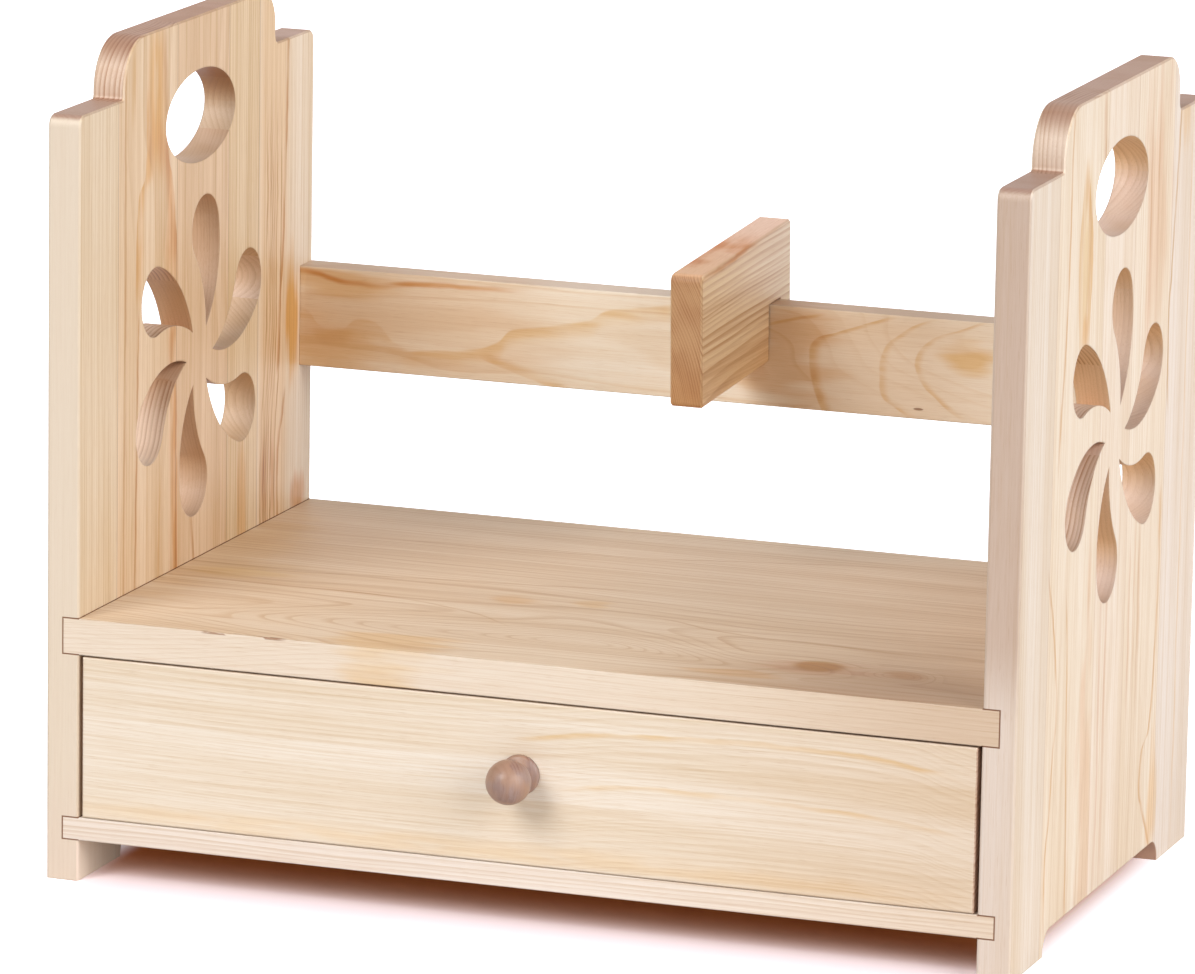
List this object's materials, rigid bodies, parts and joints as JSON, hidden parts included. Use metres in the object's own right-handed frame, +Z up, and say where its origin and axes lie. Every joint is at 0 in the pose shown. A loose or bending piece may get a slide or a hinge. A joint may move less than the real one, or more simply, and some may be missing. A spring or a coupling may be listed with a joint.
{
  "type": "desk book rack with drawer",
  "caption": "Solid pine desk rack: two pierced side panels with hand holes carry a shelf, an inset drawer with a turned knob, and a back rail with a sliding divider.",
  "frame": {"origin": "on the floor, under the middle of the whole object, with the knob and the divider's tail counted", "axes": "+X to the rack's right, -Y out of the front through the drawer, +Z up"},
  "size_m": [0.44, 0.31, 0.3635],
  "materials": {
    "side_pine": "fine sanded, clear matt",
    "board_pine": "fine sanded, clear matt",
    "front_pine": "fine sanded, clear matt",
    "rail_pine": "fine sanded, clear matt",
    "divider_pine": "fine sanded, clear matt",
    "drawer_pine": "fine sanded, unfinished",
    "plywood": "sanded, unfinished",
    "dowel_beech": "unfinished",
    "knob_beech": "turned, clear satin",
    "steel": "zinc plated"
  },
  "bodies": {
    "rack": {"left_side": "side_pine", "right_side": "side_pine", "shelf": "board_pine", "base_board": "board_pine", "bay_back": "plywood", "back_rail": "rail_pine", "rail_dowels_left": "dowel_beech", "rail_dowels_right": "dowel_beech"},
    "divider": {"divider": "divider_pine"},
    "drawer": {"drawer_front": "front_pine", "drawer_side_left": "drawer_pine", "drawer_side_right": "drawer_pine", "drawer_back": "drawer_pine", "drawer_floor": "plywood", "front_dowels_left": "dowel_beech", "front_dowels_right": "dowel_beech", "back_dowels_left": "dowel_beech", "back_dowels_right": "dowel_beech", "knob": "knob_beech", "knob_screw": "steel"}
  },
  "joints": [
    {"name": "drawer_slide", "type": "slide", "parent": "rack", "child": "drawer", "axis": [0, -1, 0], "range_m": [0, 0.2]},
    {"name": "divider_slide", "type": "slide", "parent": "rack", "child": "divider", "axis": [1, 0, 0], "range_m": [-0.2123, 0.1817]}
  ]
}
